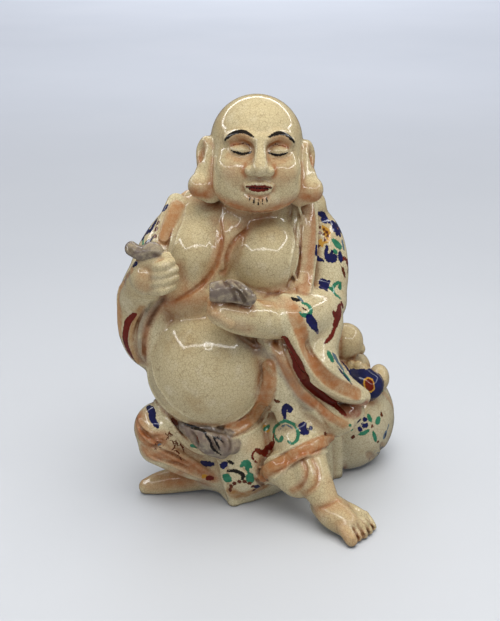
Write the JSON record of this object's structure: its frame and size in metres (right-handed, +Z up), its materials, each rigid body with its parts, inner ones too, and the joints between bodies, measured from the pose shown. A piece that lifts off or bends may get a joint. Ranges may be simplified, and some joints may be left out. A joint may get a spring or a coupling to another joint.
{
  "type": "hotei figure",
  "caption": "Seated hotei figure in glazed earthenware: open robe over a bare belly, small objects held in raised hands, bare feet, and a sack at the side with a child climbing it.",
  "frame": {"origin": "on the surface he stands on, at the middle of the seat's underside from side to side, below the belly", "axes": "+Z up through the head, -Y the way he faces, +X towards his left hand"},
  "size_m": [0.1871, 0.1754, 0.2655],
  "materials": {
    "glazed_earthenware": "clear crackled cream glaze with painted enamels"
  },
  "bodies": {
    "root": {"hotei_figure": "glazed_earthenware"}
  },
  "joints": []
}
